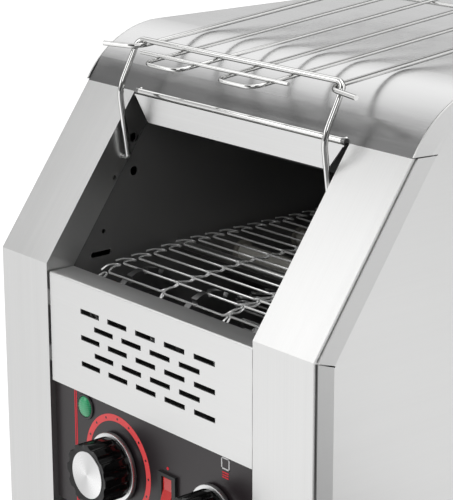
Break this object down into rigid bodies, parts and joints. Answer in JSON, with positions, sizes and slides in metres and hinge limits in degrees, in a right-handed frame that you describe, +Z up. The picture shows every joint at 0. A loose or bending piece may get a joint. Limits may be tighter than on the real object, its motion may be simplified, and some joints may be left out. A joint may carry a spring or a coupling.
{
  "type": "conveyor toaster",
  "caption": "Countertop conveyor toaster with a stainless shell, wire mesh belt, fold-over feed rack, speed and heat knobs, power rocker, toast slide, trays and chain drive.",
  "frame": {"origin": "middle of the bounding box at the surface that the feet stand on", "axes": "+X to the right seen from the front, +Y from the front to the rear, +Z up"},
  "size_m": [0.294, 0.43, 0.403],
  "materials": {
    "shell_steel": "satin brushed stainless sheet",
    "chamber_steel": "heat-darkened stainless sheet, matte",
    "bright_wire": "bright drawn stainless wire",
    "drive_steel": "turned and stamped steel, oiled",
    "bush_bronze": "sintered bronze",
    "panel_black": "gloss black printed panel",
    "lamp_bezel": "gloss black",
    "lamp_lens": "ribbed green lens",
    "knob_black": "gloss black phenolic",
    "knob_metal": "spun satin aluminium",
    "switch_black": "fine-grained black",
    "rocker_red": "gloss red",
    "control_resin": "moulded resin with steel bush",
    "heater_quartz": "frosted quartz tube, ceramic ends",
    "heater_ceramic": "unglazed steatite",
    "motor_black": "semi-gloss black",
    "foot_rubber": "matte black",
    "fan_plastic": "black moulded"
  },
  "bodies": {
    "body": {"base_plate": "shell_steel", "rear_panel": "shell_steel", "top_cover": "shell_steel", "header_plate": "shell_steel", "side_frame_left": "shell_steel", "side_frame_right": "shell_steel", "side_cover_left": "shell_steel", "side_cover_right": "shell_steel", "inner_wall_left": "chamber_steel", "inner_wall_right": "chamber_steel", "vent_plate": "shell_steel", "control_panel": "panel_black", "front_rail": "shell_steel", "pilot_bezel": "lamp_bezel", "pilot_lens": "lamp_lens", "speed_controller": "control_resin", "mode_switch": "control_resin", "rocker_bezel": "switch_black", "wire_belt": "bright_wire", "shaft_bushes": "bush_bronze", "belt_rod": "drive_steel", "upper_reflector": "chamber_steel", "lower_reflector": "chamber_steel", "upper_heater_1": "heater_quartz", "upper_heater_2": "heater_quartz", "upper_heater_3": "heater_quartz", "lower_heater_1": "heater_quartz", "lower_heater_2": "heater_quartz", "heater_holders": "heater_ceramic", "gear_motor": "motor_black", "drive_chain": "drive_steel", "toast_slide": "shell_steel", "fan_frame": "fan_plastic", "cord_gland": "switch_black", "foot_front_left": "foot_rubber", "foot_front_right": "foot_rubber", "foot_rear_left": "foot_rubber", "foot_rear_right": "foot_rubber", "cover_screws": "drive_steel"},
    "rack": {"rack_bail": "bright_wire", "rack_wires": "bright_wire"},
    "speed_knob": {"speed_knob": "knob_black", "speed_skirt": "knob_metal", "speed_cap": "knob_metal", "speed_spindle": "drive_steel"},
    "mode_knob": {"mode_knob": "knob_black", "mode_skirt": "knob_metal", "mode_cap": "knob_metal", "mode_spindle": "drive_steel"},
    "rocker": {"rocker": "rocker_red"},
    "rear_shaft": {"rear_shaft": "drive_steel", "rear_sprockets": "drive_steel", "shaft_wheel": "drive_steel"},
    "front_shaft": {"front_shaft": "drive_steel", "front_sprockets": "drive_steel"},
    "motor_pinion": {"motor_pinion": "drive_steel"},
    "fan_rotor": {"fan_rotor": "fan_plastic"},
    "toast_tray": {"toast_tray": "shell_steel"},
    "crumb_tray": {"crumb_tray": "shell_steel"}
  },
  "joints": [
    {"name": "rack_fold", "type": "hinge", "parent": "body", "child": "rack", "pos_m": [0, -0.1046, 0.3138], "axis": [1, 0, 0], "range_deg": [0, 128.5]},
    {"name": "speed_knob_turn", "type": "hinge", "parent": "body", "child": "speed_knob", "pos_m": [-0.0335, -0.161, 0.142], "axis": [0, 1, 0], "range_deg": [0, 270]},
    {"name": "mode_knob_turn", "type": "hinge", "parent": "body", "child": "mode_knob", "pos_m": [0.06, -0.161, 0.142], "axis": [0, 1, 0], "range_deg": [0, 135]},
    {"name": "power_rocker", "type": "hinge", "parent": "body", "child": "rocker", "pos_m": [0.017, -0.159, 0.142], "axis": [1, 0, 0], "range_deg": [0, 18]},
    {"name": "rear_shaft_spin", "type": "hinge", "parent": "body", "child": "rear_shaft", "pos_m": [0, 0.131, 0.23082], "axis": [1, 0, 0], "continuous": true, "deforming": ["wire_belt", "drive_chain"]},
    {"name": "front_shaft_spin", "type": "hinge", "parent": "body", "child": "front_shaft", "pos_m": [0, -0.116, 0.22682], "axis": [1, 0, 0], "continuous": true},
    {"name": "motor_spin", "type": "hinge", "parent": "body", "child": "motor_pinion", "pos_m": [0, 0.071, 0.14282], "axis": [1, 0, 0], "continuous": true},
    {"name": "fan_spin", "type": "hinge", "parent": "body", "child": "fan_rotor", "pos_m": [0, 0.185, 0.07], "axis": [0, 1, 0], "continuous": true},
    {"name": "toast_tray_slide", "type": "slide", "parent": "body", "child": "toast_tray", "axis": [0, -1, 0], "range_m": [0, 0.06]},
    {"name": "crumb_tray_slide", "type": "slide", "parent": "body", "child": "crumb_tray", "axis": [0, -1, 0], "range_m": [0, 0.3]}
  ],
  "couplings": [
    {"joint": "front_shaft_spin", "follows": "rear_shaft_spin", "ratio": 1},
    {"joint": "motor_spin", "follows": "rear_shaft_spin", "ratio": 2}
  ]
}
